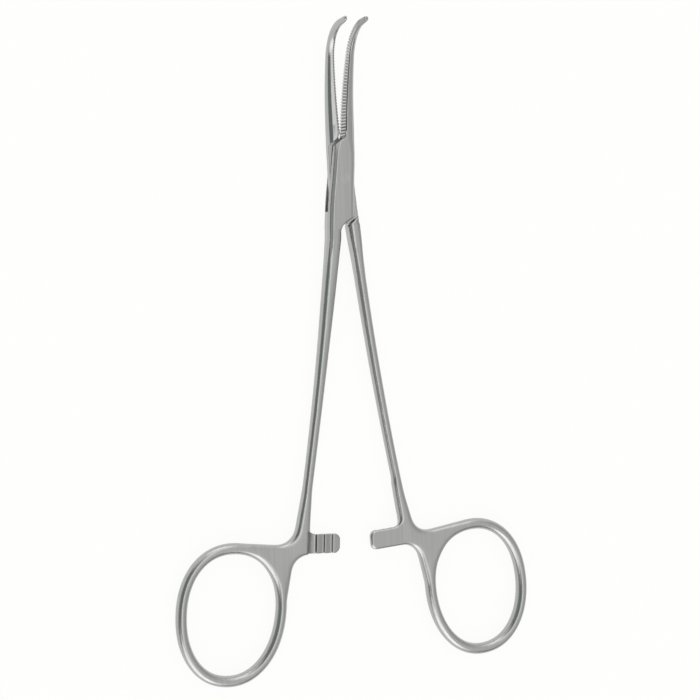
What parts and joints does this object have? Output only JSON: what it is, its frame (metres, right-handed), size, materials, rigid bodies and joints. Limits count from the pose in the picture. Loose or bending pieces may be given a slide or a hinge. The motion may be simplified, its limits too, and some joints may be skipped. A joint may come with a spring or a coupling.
{
  "type": "right angle forceps",
  "caption": "Box-lock clamp with finger rings, a ratchet and fine serrated jaws whose tips turn up through a right angle.",
  "frame": {"origin": "on the pivot's axis, in the plane of the lock's back face", "axes": "+Y from the lock to the jaws, +X to the right with the rings toward the viewer, +Z out of the lock's front, the way the tips turn"},
  "size_m": [0.0811, 0.1388, 0.0141],
  "materials": {
    "satin_steel": "satin",
    "pin_steel": "ground flush"
  },
  "bodies": {
    "box_half": {"box_half": "satin_steel", "pivot_pin": "pin_steel"},
    "tongue_half": {"tongue_half": "satin_steel"}
  },
  "joints": [
    {"name": "lock_pivot", "type": "hinge", "parent": "box_half", "child": "tongue_half", "pos_m": [0, 0, 0.00195], "axis": [0, 0, 1], "range_deg": [-7, 53]}
  ]
}
